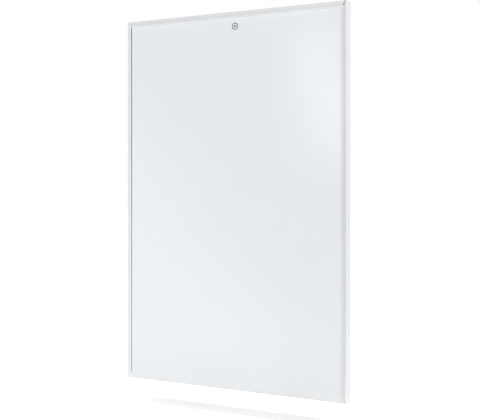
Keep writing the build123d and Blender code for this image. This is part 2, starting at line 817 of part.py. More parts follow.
pole_live, pole_neutral, pole_earth = [block_x + x for x in pole_spots]
wire_start_z = block_top - block_depth / 2 + wire_insertion
tab_live_x = switch_x + switch_tab_spread / 2
tab_heater_x = switch_x - switch_tab_spread / 2
live_step_z = block_top + live_step
near_cutout, far_cutout = cutout_x, -cutout_x
wire(
    "live_wire",
    [
        (pole_live, box_middle_y, wire_start_z),
        (pole_live, box_middle_y, live_step_z),
        (tab_live_x, box_middle_y, live_step_z),
        (tab_live_x, box_middle_y, switch_tab_z),
    ],
    [terminal_bend, terminal_bend],
)
wire(
    "switched_live_wire",
    [
        (tab_heater_x, box_middle_y, switch_tab_z),
        (tab_heater_x, box_middle_y, live_z),
        (grommet_x, box_middle_y, live_z),
        (grommet_x, wire_y, live_z),
        (near_cutout + tab_outer, wire_y, live_z),
    ],
    [wire_bend, wire_bend, wire_bend],
)
wire(
    "link_wire",
    [(near_cutout - tab_outer, wire_y, live_z), (far_cutout + tab_outer, wire_y, live_z)],
    [],
)
wire(
    "ribbon_lead_wire",
    [
        (far_cutout - tab_outer, wire_y, live_z),
        (-ribbon_end_x, wire_y, live_z),
        (-ribbon_end_x, wire_y, ribbon_end_z + post_side / 2),
    ],
    [wire_bend],
)
wire(
    "neutral_wire",
    [
        (pole_neutral, box_middle_y, wire_start_z),
        (pole_neutral, box_middle_y, neutral_z),
        (grommet_x, box_middle_y, neutral_z),
        (grommet_x, wire_y, neutral_z),
        (ribbon_end_x, wire_y, neutral_z),
        (ribbon_end_x, wire_y, ribbon_end_z + post_side / 2),
    ],
    [wire_bend, wire_bend, wire_bend, wire_bend],
)
wire(
    "earth_wire",
    [
        (pole_earth, box_middle_y, wire_start_z),
        (pole_earth, box_middle_y, grommet_z),
        (lug_end_x, box_middle_y, grommet_z),
    ],
    [wire_bend],
)

# ---- cable gland: it points down from the box's lower wall ----
flange_z = box_bottom - gland_flange
neck_end_z = flange_z - gland_neck
nut_top_z = flange_z - gland_nut_gap
nut_end_z = nut_top_z - gland_nut
seal_radius = cord_radius + seal_wall
seal_end_z = nut_end_z + gland_nut_wall
seal_top_z = seal_end_z + seal_length


def gland_disc(bottom, top, radius, mode=Mode.ADD):
    """A round disc on the gland's axis, between two heights."""
    with BuildSketch(Plane.XY.offset(bottom)) as outline:
        with Locations((gland_x, box_middle_y)):
            Circle(radius)
    extrude(outline.sketch, amount=top - bottom, mode=mode)


def gland_hexagon(bottom, top):
    """A hexagon on the gland's axis, with two of its flats parallel to the wall."""
    with BuildSketch(Plane.XY.offset(bottom)) as outline:
        with Locations((gland_x, box_middle_y)):
            RegularPolygon(gland_across / 2, 6, major_radius=False)
    extrude(outline.sketch, amount=top - bottom)


with BuildPart() as gland_body:
    gland_hexagon(flange_z, box_bottom)
    chamfer(edges().filter_by(GeomType.LINE).group_by(Axis.Z)[0], length=gland_flange / 10)
    gland_disc(box_bottom, box_bottom + gland_thread, gland_thread_radius)
    gland_disc(neck_end_z, flange_z, gland_thread_radius)
    gland_disc(seal_top_z, box_bottom + gland_thread, cord_radius + lead_room, Mode.SUBTRACT)
    gland_disc(neck_end_z, seal_top_z, seal_radius + gland_fit, Mode.SUBTRACT)
save(gland_body, "gland_body")

with BuildPart() as gland_locknut:
    gland_hexagon(box_bottom + box_wall, box_bottom + box_wall + locknut)
    gland_disc(box_bottom, box_bottom + box_wall + locknut, gland_thread_radius + gland_fit, Mode.SUBTRACT)
save(gland_locknut, "gland_locknut")

with BuildPart() as gland_seal:
    gland_disc(seal_end_z, seal_top_z, seal_radius)
    gland_disc(seal_end_z, seal_top_z, cord_radius, Mode.SUBTRACT)
save(gland_seal, "gland_seal")

with BuildPart() as gland_dome_nut:
    gland_hexagon(nut_end_z, nut_top_z)
    with BuildSketch(Plane.XY.offset(nut_end_z)) as dome:
        with Locations((gland_x, box_middle_y)):
            Circle(seal_radius + gland_nut_wall)
    extrude(dome.sketch, amount=gland_nut, taper=-dome_taper, mode=Mode.INTERSECT)
    gland_disc(neck_end_z, nut_top_z, gland_thread_radius + gland_fit, Mode.SUBTRACT)
    gland_disc(seal_end_z, neck_end_z, seal_radius + gland_fit, Mode.SUBTRACT)
    gland_disc(nut_end_z, seal_end_z, cord_radius + lead_room, Mode.SUBTRACT)
save(gland_dome_nut, "gland_dome_nut")

# ---- rocker switch: it faces down beside the gland, and its rocker tips about Y ----
bezel_face_z = box_bottom - bezel_thickness
pivot_z = bezel_face_z + pivot_inset
rocker_depth = cavity_depth - 2 * rocker_fit
with BuildPart() as switch_body:
    with BuildSketch(Plane.XY.offset(bezel_face_z)):
        with Locations((switch_x, box_middle_y)):
            RectangleRounded(bezel_width, bezel_depth, bezel_thickness)
    extrude(amount=bezel_thickness)
    chamfer(faces().sort_by(Axis.Z)[0].edges(), length=bezel_thickness / 4)
    with BuildSketch(Plane.XY.offset(box_bottom)):
        with Locations((switch_x, box_middle_y)):
            Rectangle(body_width, body_depth)
    extrude(amount=body_length)
    with BuildSketch(Plane.XY.offset(bezel_face_z)):
        with Locations((switch_x, box_middle_y)):
            Rectangle(cavity_width, cavity_depth)
    extrude(amount=cavity_length, mode=Mode.SUBTRACT)
    with BuildSketch(front_plane(box_middle_y - front_y)):
        with Locations((switch_x, pivot_z)):
            Circle(axle_radius + axle_fit)
    extrude(amount=rocker_depth / 2 + axle_length + rocker_fit, both=True, mode=Mode.SUBTRACT)
save(switch_body, "switch_body")

tilted = right.rotate(Axis.Y, -rocker_tilt)
rocker_plane = Plane(origin=(switch_x, box_middle_y, pivot_z), x_dir=tilted, z_dir=(0, -1, 0))
with BuildPart() as switch_rocker:
    with BuildSketch(rocker_plane):
        with BuildLine():
            Polyline(
                (rocker_root, 0),
                (rocker_half, 0),
                (rocker_half, -rocker_tip),
                (0, -rocker_valley),
                (-rocker_half, -rocker_tip),
                (-rocker_half, 0),
                (-rocker_root, 0),
            )
            ThreePointArc((-rocker_root, 0), (0, rocker_root), (rocker_root, 0))
        make_face()
    extrude(amount=rocker_depth / 2, both=True)
    fillet(edges().filter_by(Axis.Y).group_by(Axis.Z)[0], radius=rocker_fit * 2)
    with BuildSketch(rocker_plane):
        Circle(axle_radius)
    extrude(amount=rocker_depth / 2 + axle_length, both=True)
save(switch_rocker, "switch_rocker")

with BuildPart() as switch_tabs:
    with BuildSketch(Plane.XY.offset(box_bottom + body_length)):
        with Locations((switch_x, box_middle_y)):
            with GridLocations(switch_tab_spread, 0, 2, 1):
                Rectangle(tab_thickness, switch_tab_width)
    extrude(amount=switch_tab_length)
save(switch_tabs, "switch_tabs")
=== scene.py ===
import json
from math import hypot, pi, radians

import bmesh
import bpy
from mathutils import Matrix, Quaternion, Vector


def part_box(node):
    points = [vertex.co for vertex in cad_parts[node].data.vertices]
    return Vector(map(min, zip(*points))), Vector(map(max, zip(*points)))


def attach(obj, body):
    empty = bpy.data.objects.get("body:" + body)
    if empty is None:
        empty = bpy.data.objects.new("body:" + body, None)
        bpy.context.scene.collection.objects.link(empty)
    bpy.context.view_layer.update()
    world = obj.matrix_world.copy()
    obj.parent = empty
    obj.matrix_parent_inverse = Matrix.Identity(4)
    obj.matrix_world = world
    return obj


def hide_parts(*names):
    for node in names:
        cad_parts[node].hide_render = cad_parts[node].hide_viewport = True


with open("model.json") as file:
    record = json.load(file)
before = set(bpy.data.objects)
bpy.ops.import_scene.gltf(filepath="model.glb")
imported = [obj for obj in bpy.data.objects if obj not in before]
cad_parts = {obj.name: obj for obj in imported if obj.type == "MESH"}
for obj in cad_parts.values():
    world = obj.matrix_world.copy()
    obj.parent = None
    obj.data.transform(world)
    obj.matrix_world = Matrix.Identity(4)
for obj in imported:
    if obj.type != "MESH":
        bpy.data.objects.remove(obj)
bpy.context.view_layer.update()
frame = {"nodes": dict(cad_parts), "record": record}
nodes = frame["nodes"]
print("frame loaded:", len(nodes), "nodes")


# shaders: signs between values add Math nodes, and a Finish holds one node tree
class Value:  # a socket that plain signs can work with

    def __init__(self, finish, link):
        self.finish = finish
        self.link = link

    def math(self, operation, first, second):
        return self.finish.node("ShaderNodeMath", {"operation": operation}, {0: first, 1: second})

    def __add__(self, other):
        return self.math("ADD", self, other)

    def __radd__(self, other):
        return self.math("ADD", other, self)

    def __sub__(self, other):
        return self.math("SUBTRACT", self, other)

    def __rsub__(self, other):
        return self.math("SUBTRACT", other, self)

    def __mul__(self, other):
        return self.math("MULTIPLY", self, other)

    def __rmul__(self, other):
        return self.math("MULTIPLY", other, self)

    def __gt__(self, other):
        return self.math("GREATER_THAN", self, other)

    def __lt__(self, other):
        return self.math("LESS_THAN", self, other)

    def __abs__(self):
        return self.math("ABSOLUTE", self, 0)


noiseGrains = {  # detail and roughness of the noise textures
    "cloud": (3.0, 0.5),
    "mottle": (3.0, 0.55),
    "soft": (2.0, 0.5),
    "peel": (2.0, 0.45),
    "fine": (2.0, 0.6),
    "spark": (2.0, 0.7),
    "rough": (4.0, 0.6),
    "strand": (5.0, 0.7),
}


class Finish:  # a node tree under construction: a new material's, or the world's

    def __init__(self, name, owner=None):
        self.owner = owner or bpy.data.materials.new(name)
        self.owner.use_nodes = True
        self.tree = self.owner.node_tree
        self.tree.nodes.clear()

    def node(self, kind, settings=None, sockets=None, out=0):
        made = self.tree.nodes.new(kind)
        for key, value in (settings or {}).items():
            setattr(made, key, value)
        for key, value in (sockets or {}).items():
            if isinstance(value, Value):
                self.tree.links.new(value.link, made.inputs[key])
            else:
                made.inputs[key].default_value = value
        return Value(self, made.outputs[out]) if len(made.outputs) else None

    def place(self, scale=(1, 1, 1)):
        where = self.node("ShaderNodeTexCoord", out="Object")
        return self.node("ShaderNodeMapping", {}, {"Vector": where, "Scale": scale})

    def axes(self):
        where = self.node("ShaderNodeTexCoord", out="Object")
        split = self.node("ShaderNodeSeparateXYZ", {}, {0: where}).link.node
        return [Value(self, socket) for socket in split.outputs]

    def fade(self, value, low, high):
        # 0 below low, 1 above high, smooth between
        return self.node(
            "ShaderNodeMapRange",
            {"interpolation_type": "SMOOTHSTEP"},
            {"Value": value, "From Min": low, "From Max": high},
        )

    def within(self, value, width, solid):
        # 1 up to the solid share of a width, 0 from the width on
        return 1 - self.fade(value, width * solid, width)

    def around(self, texture, middle, spread):
        # a value that follows a texture of 0 to 1 about its middle
        return middle + (texture - 0.5) * spread

    def noise(self, where, scale, grain):
        detail, roughness = noiseGrains[grain]
        return self.node(
            "ShaderNodeTexNoise",
            {},
            {"Vector": where, "Scale": scale, "Detail": detail, "Roughness": roughness},
        )

    def cells(self, where, scale):
        # a random value of 0 to 1 in each cell
        sockets = {"Vector": where, "Scale": scale}
        colour = self.node("ShaderNodeTexVoronoi", {}, sockets, out="Color")
        return self.node("ShaderNodeSeparateColor", {}, {"Color": colour}, out=0)

    def blend(self, amount, first, second):
        pair = [(*tone, 1) if isinstance(tone, tuple) else tone for tone in (first, second)]
        return self.node(
            "ShaderNodeMix",
            {"data_type": "RGBA"},
            {"Factor": amount, 6: pair[0], 7: pair[1]},
            out=2,
        )

    def share(self, first, second, amount, look):
        # the look's two colours, mixed by two textures of which the first has this share
        texture = first * amount + second * (1 - amount)
        return self.blend(texture, look["colour"], look["colourShade"])

    def bump(self, height, distance):
        return self.node("ShaderNodeBump", {}, {"Height": height, "Distance": distance})

    def surface(self, sockets):
        given = {
            key: (*value, 1) if key == "Base Color" and isinstance(value, tuple) else value
            for key, value in sockets.items()
        }
        shader = self.node("ShaderNodeBsdfPrincipled", {}, given, out="BSDF")
        self.node("ShaderNodeOutputMaterial", {}, {"Surface": shader})
        return self.owner


coatGrain = {"fineTimes": 4, "fineShare": 0.3}  # the coat's fine grain against its orange peel


def coated(coat, look):
    # colour, orange peel and roughness of a coated sheet
    where = coat.place()
    peel = coat.noise(where, look["peelScale"], "peel")
    cloud = coat.noise(where, look["cloudScale"], "mottle")
    fine = coat.noise(where, look["peelScale"] * coatGrain["fineTimes"], "fine")
    tone = coat.blend(cloud, look["colour"], look["colourShade"])
    bumps = peel + fine * coatGrain["fineShare"]
    return tone, bumps, coat.around(fine, look["roughness"], look["roughnessSpread"])


def coatSurface(coat, look, tone, bumps, roughness):
    return coat.surface(
        {
            "Base Color": tone,
            "Roughness": roughness,
            "Specular IOR Level": look["shine"],
            "Normal": coat.bump(bumps, look["peelDepth"]),
        }
    )


def powderCoat(name, look):
    coat = Finish(name)
    return coatSurface(coat, look, *coated(coat, look))


def railPaint(name, look, ends):
    # the frame's paint: paler low down as painted light from below, greyer on the outer edges of
    # the side lips as painted shade, a painted shade band on the top lip, paler inner edges on all
    # lips as painted light, and dark in the right-hand mitre joints, most at the top right
    coat = Finish(name)
    tone, bumps, roughness = coated(coat, look)
    x, y, z = coat.axes()
    fromSide = look["halfWidth"] - abs(x)
    fromEnd = look["halfHeight"] - abs(z)
    right = x > 0
    upper = z > 0
    front = y < look["lipRear"]
    # painted light: the frame paler towards the bottom, as if lit from below, the bottom rail most
    low = 1 - coat.fade(z, -look["halfHeight"], look["lowLightEnd"])
    lowLightShare = look["endLowLight"] if ends else look["sideLowLight"]
    tone = coat.blend(low * lowLightShare, tone, look["lowLightColour"])
    slant = hypot(look["sideLip"], look["endLip"])
    apart = abs(fromSide * look["endLip"] - fromEnd * look["sideLip"])
    joint = 1 - coat.fade(apart, look["jointCore"] * slant, look["jointEdge"] * slant)
    joint = joint * (1 - coat.fade(fromEnd, look["jointReach"], look["endLip"]))
    # the mitre joints are darker on the right only, most at the top right
    rightJointShare = right * (look["lowerJoint"] + upper * (look["upperJoint"] - look["lowerJoint"]))
    reach = fromEnd if ends else fromSide
    lip = look["endLip"] if ends else look["sideLip"]
    if ends:
        # painted shade band on the top lip's inner part, standing in for the shade of a bevel
        # facing down
        shadeBandEnd = look["shadeBandStart"] + look["shadeBandBlend"]
        shadeBand = coat.fade(reach, look["shadeBandStart"], shadeBandEnd) * front
        tone = coat.blend(upper * shadeBand * look["shadeBandShare"], tone, look["paintedShadeColour"])
        # painted light: the top and bottom lips' inner rims paler, so their shaded inner edge
        # merges with the sheet
        rimSolid = lip - look["endRim"] * look["rimSolid"]
        rim = coat.fade(reach, lip - look["endRim"], rimSolid) * front
        tone = coat.blend(rim, tone, look["rimColour"])
    else:
        # painted shade on the side lips' outer front edges, which dims their highlight; more on
        # the right lip, fading out low down
        edge = y < look["edgeRear"]
        edgeShade = coat.within(reach, look["edgeShadeWidth"], look["edgeShadeSolid"]) * edge
        share = look["leftEdge"] + right * (look["rightEdge"] - look["leftEdge"])
        above = coat.fade(z, -look["halfHeight"], look["edgeShadeEnd"])
        tone = coat.blend(edgeShade * share * above, tone, look["paintedShadeColour"])
        # painted light: the side lips' inner edges and inner walls paler than the paint
        inner = coat.fade(reach, lip - look["innerRim"], lip) * front
        tone = coat.blend(inner, tone, look["wallLightColour"])
    tone = coat.blend(joint * rightJointShare * front, tone, look["jointColour"])
    return coatSurface(coat, look, tone, bumps, roughness)


def enamelSheet(name, look):
    # the radiant sheet: satin enamel, with a painted highlight along the seal's left, top and
    # bottom runs, and a thin painted shadow line along the seal's left run
    sheet = Finish(name)
    tone, bumps, roughness = coated(sheet, look)
    x, _, z = sheet.axes()
    fromSide = look["seenHalfWidth"] - abs(x)
    fromEnd = look["seenHalfHeight"] - abs(z)
    left = x < 0
    shaded = sheet.within(fromSide, look["shadeWidth"], look["shadeSolid"])
    # painted highlight on the sheet along the seal's left run, and along its top and bottom runs
    sideHighlight = sheet.within(fromSide, look["rimEnd"], look["rimSolid"]) * left
    endHighlight = sheet.within(fromEnd, look["endRim"], look["endSolid"])
    tone = sheet.blend(sideHighlight * look["rimShare"], tone, look["rimColour"])
    tone = sheet.blend(endHighlight * look["endShare"], tone, look["rimColour"])
    tone = sheet.blend(shaded * left * look["shadeShare"], tone, look["shadeColour"])
    return coatSurface(sheet, look, tone, bumps, roughness)


def sealStrip(name, look):
    # black silicone painted paler as if lit, on its upright runs most of all low down, and
    # wholly on its top and bottom runs
    strip = Finish(name)
    _, _, z = strip.axes()
    spark = strip.noise(strip.place(), look["sparkScale"], "spark")
    # painted light: paler low down on the upright runs, and over the whole top and bottom runs
    litLow = 1 - strip.fade(z, -look["halfHeight"], look["litTop"])
    upper = z > look["runHeight"]
    lower = z < -look["runHeight"]
    litShare = (
        litLow * look["sideLit"] * (1 - upper) * (1 - lower)
        + upper * look["upperLit"]
        + lower * look["lowerLit"]
    )
    return strip.surface(
        {
            "Base Color": strip.blend(litShare, look["colour"], look["litColour"]),
            "Roughness": strip.around(spark, look["roughness"], look["roughnessSpread"]),
            "Normal": strip.bump(spark, look["sparkDepth"]),
        }
    )


def zincPlate(name, look):
    zinc = Finish(name)
    crystal = zinc.cells(zinc.place(), look["spangleScale"])
    streak = zinc.noise(zinc.place(look["streakScale"]), 1.0, "rough")
    roughness = zinc.around(crystal, look["roughness"], look["crystalSpread"])
    return zinc.surface(
        {
            "Base Color": zinc.share(crystal, streak, look["crystalShare"], look),
            "Metallic": 1.0,
            "Roughness": zinc.around(streak, roughness, look["streakSpread"]),
            "Normal": zinc.bump(streak, look["streakDepth"]),
        }
    )


def bareMetal(name, look):
    metal = Finish(name)
    grain = metal.noise(metal.place(look["grainScale"]), 1.0, "rough")
    cloud = metal.noise(metal.place(), look["cloudScale"], "cloud")
    return metal.surface(
        {
            "Base Color": metal.blend(cloud, look["colour"], look["colourShade"]),
            "Metallic": 1.0,
            "Roughness": metal.around(grain, look["roughness"], look["roughnessSpread"]),
            "Normal": metal.bump(grain, look["grainDepth"]),
        }
    )


def sparked(plastic, look):
    # colour, spark texture and roughness of a moulded piece
    where = plastic.place()
    spark = plastic.noise(where, look["sparkScale"], "spark")
    cloud = plastic.noise(where, look["cloudScale"], "soft")
    tone = plastic.blend(cloud, look["colour"], look["colourShade"])
    return tone, spark, plastic.around(spark, look["roughness"], look["roughnessSpread"])


def moulded(name, look):
    plastic = Finish(name)
    tone, spark, roughness = sparked(plastic, look)
    return plastic.surface(
        {
            "Base Color": tone,
            "Roughness": roughness,
            "Normal": plastic.bump(spark, look["sparkDepth"]),
        }
    )


def boxShell(name, look):
    # spark-textured shell whose lid meets the box in a thin dark line
    shell = Finish(name)
    tone, spark, roughness = sparked(shell, look)
    fromSeam = abs(shell.axes()[1] - look["seam"])
    seam = shell.within(fromSeam, look["seamWidth"], look["seamSolid"])
    return shell.surface(
        {
            "Base Color": shell.blend(seam, tone, look["seamColour"]),
            "Roughness": roughness,
            "Normal": shell.bump(spark - seam * look["seamShare"], look["sparkDepth"]),
        }
    )


def micaSheet(name, look):
    mica = Finish(name)
    where = mica.place()
    flake = mica.cells(where, look["flakeScale"])
    cloud = mica.noise(where, look["cloudScale"], "cloud")
    return mica.surface(
        {
            "Base Color": mica.share(flake, cloud, look["flakeShare"], look),
            "Roughness": mica.around(flake, look["roughness"], look["roughnessSpread"]),
            "Normal": mica.bump(flake, look["flakeDepth"]),
        }
    )


def fibreBoard(name, look):
    board = Finish(name)
    strands = board.noise(board.place(look["strandScale"]), 1.0, "strand")
    tufts = board.noise(board.place(), look["tuftScale"], "rough")
    return board.surface(
        {
            "Base Color": board.share(strands, tufts, look["strandShare"], look),
            "Roughness": look["roughness"],
            "Normal": board.bump(strands + tufts, look["tuftDepth"]),
        }
    )


def stripedWire(name, look):
    sleeve = Finish(name)
    where = sleeve.place()
    spark = sleeve.noise(where, look["sparkScale"], "cloud")
    wave = sleeve.node(
        "ShaderNodeTexWave",
        {"bands_direction": "DIAGONAL"},
        {"Vector": where, "Scale": look["stripeScale"], "Distortion": look["stripeWave"]},
    )
    return sleeve.surface(
        {
            "Base Color": sleeve.blend(wave > look["stripeEdge"], look["colour"], look["stripe"]),
            "Roughness": look["roughness"],
            "Normal": sleeve.bump(spark, look["sparkDepth"]),
        }
    )


finishLooks = {
    "panel_enamel": (
        enamelSheet,
        {
            "colour": (0.815, 0.845, 0.865),
            "colourShade": (0.80, 0.825, 0.845),
            "roughness": 0.38,
            "roughnessSpread": 0.08,
            "shine": 0.5,
            "peelScale": 620.0,
            "peelDepth": 0.00002,
            "cloudScale": 3.0,
            "seenHalfWidth": 0.2915,
            "seenHalfHeight": 0.437,
            "shadeWidth": 0.0024,
            "shadeSolid": 0.5,
            "shadeShare": 0.75,
            "shadeColour": (0.42, 0.43, 0.45),
            # painted highlight along the seal's runs
            "rimEnd": 0.0052,
            "rimSolid": 0.8,
            "rimShare": 0.85,
            "endRim": 0.0026,
            "endSolid": 0.7,
            "endShare": 0.75,
            "rimColour": (0.93, 0.945, 0.955),
        },
    ),
    "cover_paint": (
        powderCoat,
        {
            "colour": (0.70, 0.71, 0.72),
            "colourShade": (0.66, 0.67, 0.68),
            "roughness": 0.5,
            "roughnessSpread": 0.16,
            "shine": 0.4,
            "peelScale": 700.0,
            "peelDepth": 0.00005,
            "cloudScale": 6.0,
        },
    ),
    "zinc_steel": (
        zincPlate,
        {
            "colour": (0.44, 0.45, 0.47),
            "colourShade": (0.31, 0.32, 0.34),
            "roughness": 0.5,
            "spangleScale": 110.0,
            "crystalShare": 0.6,
            "crystalSpread": 0.12,
            "streakScale": (30.0, 900.0, 900.0),
            "streakSpread": 0.1,
            "streakDepth": 0.00002,
        },
    ),
    "cast_alloy": (
        bareMetal,
        {
            "colour": (0.60, 0.60, 0.61),
            "colourShade": (0.48, 0.48, 0.49),
            "roughness": 0.55,
            "roughnessSpread": 0.2,
            "grainScale": (1500.0, 1500.0, 1500.0),
            "grainDepth": 0.00005,
            "cloudScale": 60.0,
        },
    ),
    "foil_metal": (
        bareMetal,
        {
            "colour": (0.86, 0.86, 0.87),
            "colourShade": (0.74, 0.74, 0.76),
            "roughness": 0.2,
            "roughnessSpread": 0.15,
            "grainScale": (60.0, 60.0, 60.0),
            "grainDepth": 0.0006,
            "cloudScale": 20.0,
        },
    ),
    "ribbon_alloy": (
        bareMetal,
        {
            "colour": (0.46, 0.43, 0.40),
            "colourShade": (0.34, 0.32, 0.31),
            "roughness": 0.4,
            "roughnessSpread": 0.15,
            "grainScale": (1200.0, 1200.0, 60.0),
            "grainDepth": 0.00002,
            "cloudScale": 25.0,
        },
    ),
    "mica": (
        micaSheet,
        {
            "colour": (0.62, 0.50, 0.33),
            "colourShade": (0.42, 0.32, 0.19),
            "roughness": 0.4,
            "roughnessSpread": 0.25,
            "flakeScale": 260.0,
            "flakeShare": 0.7,
            "flakeDepth": 0.00006,
            "cloudScale": 260.0 / 6,  # six flakes wide
        },
    ),
    "insulation": (
        fibreBoard,
        {
            "colour": (0.80, 0.74, 0.52),
            "colourShade": (0.62, 0.55, 0.34),
            "roughness": 0.95,
            "strandScale": (90.0, 400.0, 1300.0),
            "strandShare": 0.5,
            "tuftScale": 180.0,
            "tuftDepth": 0.0008,
        },
    ),
    "dark_silicone": (
        moulded,
        {
            "colour": (0.06, 0.06, 0.065),
            "colourShade": (0.045, 0.045, 0.05),
            "roughness": 0.8,
            "roughnessSpread": 0.1,
            "sparkScale": 1400.0,
            "sparkDepth": 0.00002,
            "cloudScale": 40.0,
        },
    ),
    "dark_rubber": (
        moulded,
        {
            "colour": (0.03, 0.03, 0.03),
            "colourShade": (0.045, 0.045, 0.045),
            "roughness": 0.7,
            "roughnessSpread": 0.15,
            "sparkScale": 2200.0,
            "sparkDepth": 0.00002,
            "cloudScale": 80.0,
        },
    ),
    "dark_plastic": (
        moulded,
        {
            "colour": (0.035, 0.035, 0.038),
            "colourShade": (0.05, 0.05, 0.053),
            "roughness": 0.52,
            "roughnessSpread": 0.2,
            "sparkScale": 2600.0,
            "sparkDepth": 0.00004,
            "cloudScale": 30.0,
        },
    ),
    "rocker_plastic": (
        moulded,
        {
            "colour": (0.015, 0.015, 0.016),
            "colourShade": (0.02, 0.02, 0.022),
            "roughness": 0.16,
            "roughnessSpread": 0.08,
            "sparkScale": 900.0,
            "sparkDepth": 0.000004,
            "cloudScale": 60.0,
        },
    ),
    "block_plastic": (
        moulded,
        {
            "colour": (0.78, 0.76, 0.68),
            "colourShade": (0.72, 0.69, 0.60),
            "roughness": 0.45,
            "roughnessSpread": 0.12,
            "sparkScale": 2000.0,
            "sparkDepth": 0.00002,
            "cloudScale": 90.0,
        },
    ),
    "ceramic": (
        moulded,
        {
            "colour": (0.83, 0.80, 0.72),
            "colourShade": (0.76, 0.73, 0.64),
            "roughness": 0.22,
            "roughnessSpread": 0.08,
            "sparkScale": 500.0,
            "sparkDepth": 0.00001,
            "cloudScale": 120.0,
        },
    ),
    "brass": (
        bareMetal,
        {
            "colour": (0.80, 0.60, 0.30),
            "colourShade": (0.62, 0.44, 0.20),
            "roughness": 0.3,
            "roughnessSpread": 0.15,
            "grainScale": (400.0, 3000.0, 400.0),
            "grainDepth": 0.00001,
            "cloudScale": 150.0,
        },
    ),
    "brown_wire": (
        moulded,
        {
            "colour": (0.16, 0.06, 0.025),
            "colourShade": (0.13, 0.045, 0.02),
            "roughness": 0.4,
            "roughnessSpread": 0.1,
            "sparkScale": 2500.0,
            "sparkDepth": 0.00001,
            "cloudScale": 90.0,
        },
    ),
    "blue_wire": (
        moulded,
        {
            "colour": (0.02, 0.09, 0.42),
            "colourShade": (0.015, 0.07, 0.34),
            "roughness": 0.4,
            "roughnessSpread": 0.1,
            "sparkScale": 2500.0,
            "sparkDepth": 0.00001,
            "cloudScale": 90.0,
        },
    ),
    "earth_wire": (
        stripedWire,
        {
            "colour": (0.05, 0.30, 0.06),
            "stripe": (0.75, 0.62, 0.04),
            "roughness": 0.4,
            "stripeScale": 60.0,
            "stripeWave": 0.4,
            "stripeEdge": 0.55,
            "sparkScale": 4000.0,
            "sparkDepth": 0.00001,
        },
    ),
}
frameLook = {
    "colour": (0.745, 0.75, 0.765),
    "colourShade": (0.73, 0.735, 0.755),
    "roughness": 0.44,
    "roughnessSpread": 0.12,
    "shine": 0.4,
    "peelScale": 900.0,
    "peelDepth": 0.00005,
    "cloudScale": 9.0,
    "halfWidth": 0.3,
    "halfHeight": 0.45,
    "sideLip": 0.0085,
    "endLip": 0.013,
    "lipRear": -0.0466,
    # painted light on the side lips' inner edges and walls
    "wallLightColour": (0.88, 0.89, 0.90),
    # painted light low down on the frame
    "lowLightEnd": -0.1,
    "sideLowLight": 0.35,
    "endLowLight": 1.0,
    "lowLightColour": (0.835, 0.84, 0.855),
    "jointCore": 0.0005,  # half width of the dark line in a mitre joint, and of its soft edge
    "jointEdge": 0.0014,
    "jointReach": 0.0095,
    "jointColour": (0.22, 0.215, 0.23),
    "upperJoint": 0.85,
    "lowerJoint": 0.22,
    # painted shade on the side lips' outer edges; its colour also darkens the top lip's band
    "edgeShadeWidth": 0.0034,
    "edgeShadeSolid": 0.4,
    "edgeShadeEnd": -0.36,  # the side lips' painted edge shade fades out below this height
    "edgeRear": -0.0487,
    "leftEdge": 0.15,
    "rightEdge": 0.75,
    "paintedShadeColour": (0.50, 0.51, 0.53),
    # painted shade band on the top lip
    "shadeBandStart": 0.0076,
    "shadeBandShare": 0.22,
    "shadeBandBlend": 0.00035,
    "innerRim": 0.0020,
    # painted light on the inner rims of the top and bottom lips
    "endRim": 0.0018,
    "rimSolid": 0.8,
    "rimColour": (0.92, 0.94, 0.95),
}
sealLook = {
    "colour": (0.02, 0.02, 0.022),
    # painted light: how pale the seal is painted, and where
    "litColour": (0.88, 0.90, 0.91),
    "roughness": 0.85,
    "roughnessSpread": 0.1,
    "sparkScale": 1400.0,
    "sparkDepth": 0.00002,
    "halfHeight": 0.45,
    "litTop": 0.405,
    "runHeight": 0.4362,  # the seal's top and bottom runs start here
    "sideLit": 0.5,
    "upperLit": 1.0,
    "lowerLit": 1.0,
}
finishes = {slot: make(slot, look) for slot, (make, look) in finishLooks.items()}
finishes["frame_paint"] = railPaint("frame_paint", frameLook, ends=False)
boxLook = {
    "colour": (0.048, 0.049, 0.052),
    "colourShade": (0.036, 0.037, 0.040),
    "roughness": 0.48,
    "roughnessSpread": 0.2,
    "sparkScale": 1900.0,
    "sparkDepth": 0.00004,
    "cloudScale": 35.0,
    "seam": -0.005,
    "seamWidth": 0.0007,
    "seamSolid": 0.4,
    "seamColour": (0.004, 0.004, 0.004),
    "seamShare": 3.0,
}
ownFinishes = {
    "connection_box": boxShell("box_shell", boxLook),
    "top_rail": railPaint("frame_paint_ends", frameLook, ends=True),
    "panel_gasket": sealStrip("panel_seal", sealLook),
}
ownFinishes["bottom_rail"] = ownFinishes["top_rail"]
ownFinishes["box_lid"] = ownFinishes["connection_box"]
for entry in frame["record"]["subparts"]:
    part = nodes[entry["node"]]
    part.data.materials.clear()
    part.data.materials.append(ownFinishes.get(part.name, finishes[entry["material_slot"]]))
print("finishes:", len(finishes))

# a plain printed ring and dot near the top of the radiant panel
markSizes = {
    "centre": (0.0115, 0.4160),  # x and z
    "radius": 0.00825,
    "ringSteps": 72,
    "stroke": 0.0021,
    "dot": 0.0026,
    "dotSteps": 32,
    "film": 0.00006,
}
inkLook = {
    "colour": (0.055, 0.058, 0.062),
    "colourShade": (0.06325, 0.0667, 0.0713),
    "roughness": 0.5,
    "roughnessSpread": 0.1,
    "sparkScale": 3000.0,
    "sparkDepth": 0.000004,
    "cloudScale": 200.0,
}


def newObject(name, data):
    made = bpy.data.objects.new(name, data)
    bpy.context.scene.collection.objects.link(made)
    return made


def newMesh(name, mesh, finish):
    data = bpy.data.meshes.new(name)
    mesh.to_mesh(data)
    mesh.free()
    data.materials.append(finish)
    return newObject(name, data)


def newPiece(name, mesh, finish, body):
    piece = newMesh(name, mesh, finish)
    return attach(piece, body)


def upright(mesh, centre, y):
    turn = Matrix.Translation((centre[0], y, centre[1])) @ Matrix.Rotation(radians(90), 4, "X")
    bmesh.ops.transform(mesh, matrix=turn, verts=mesh.verts)


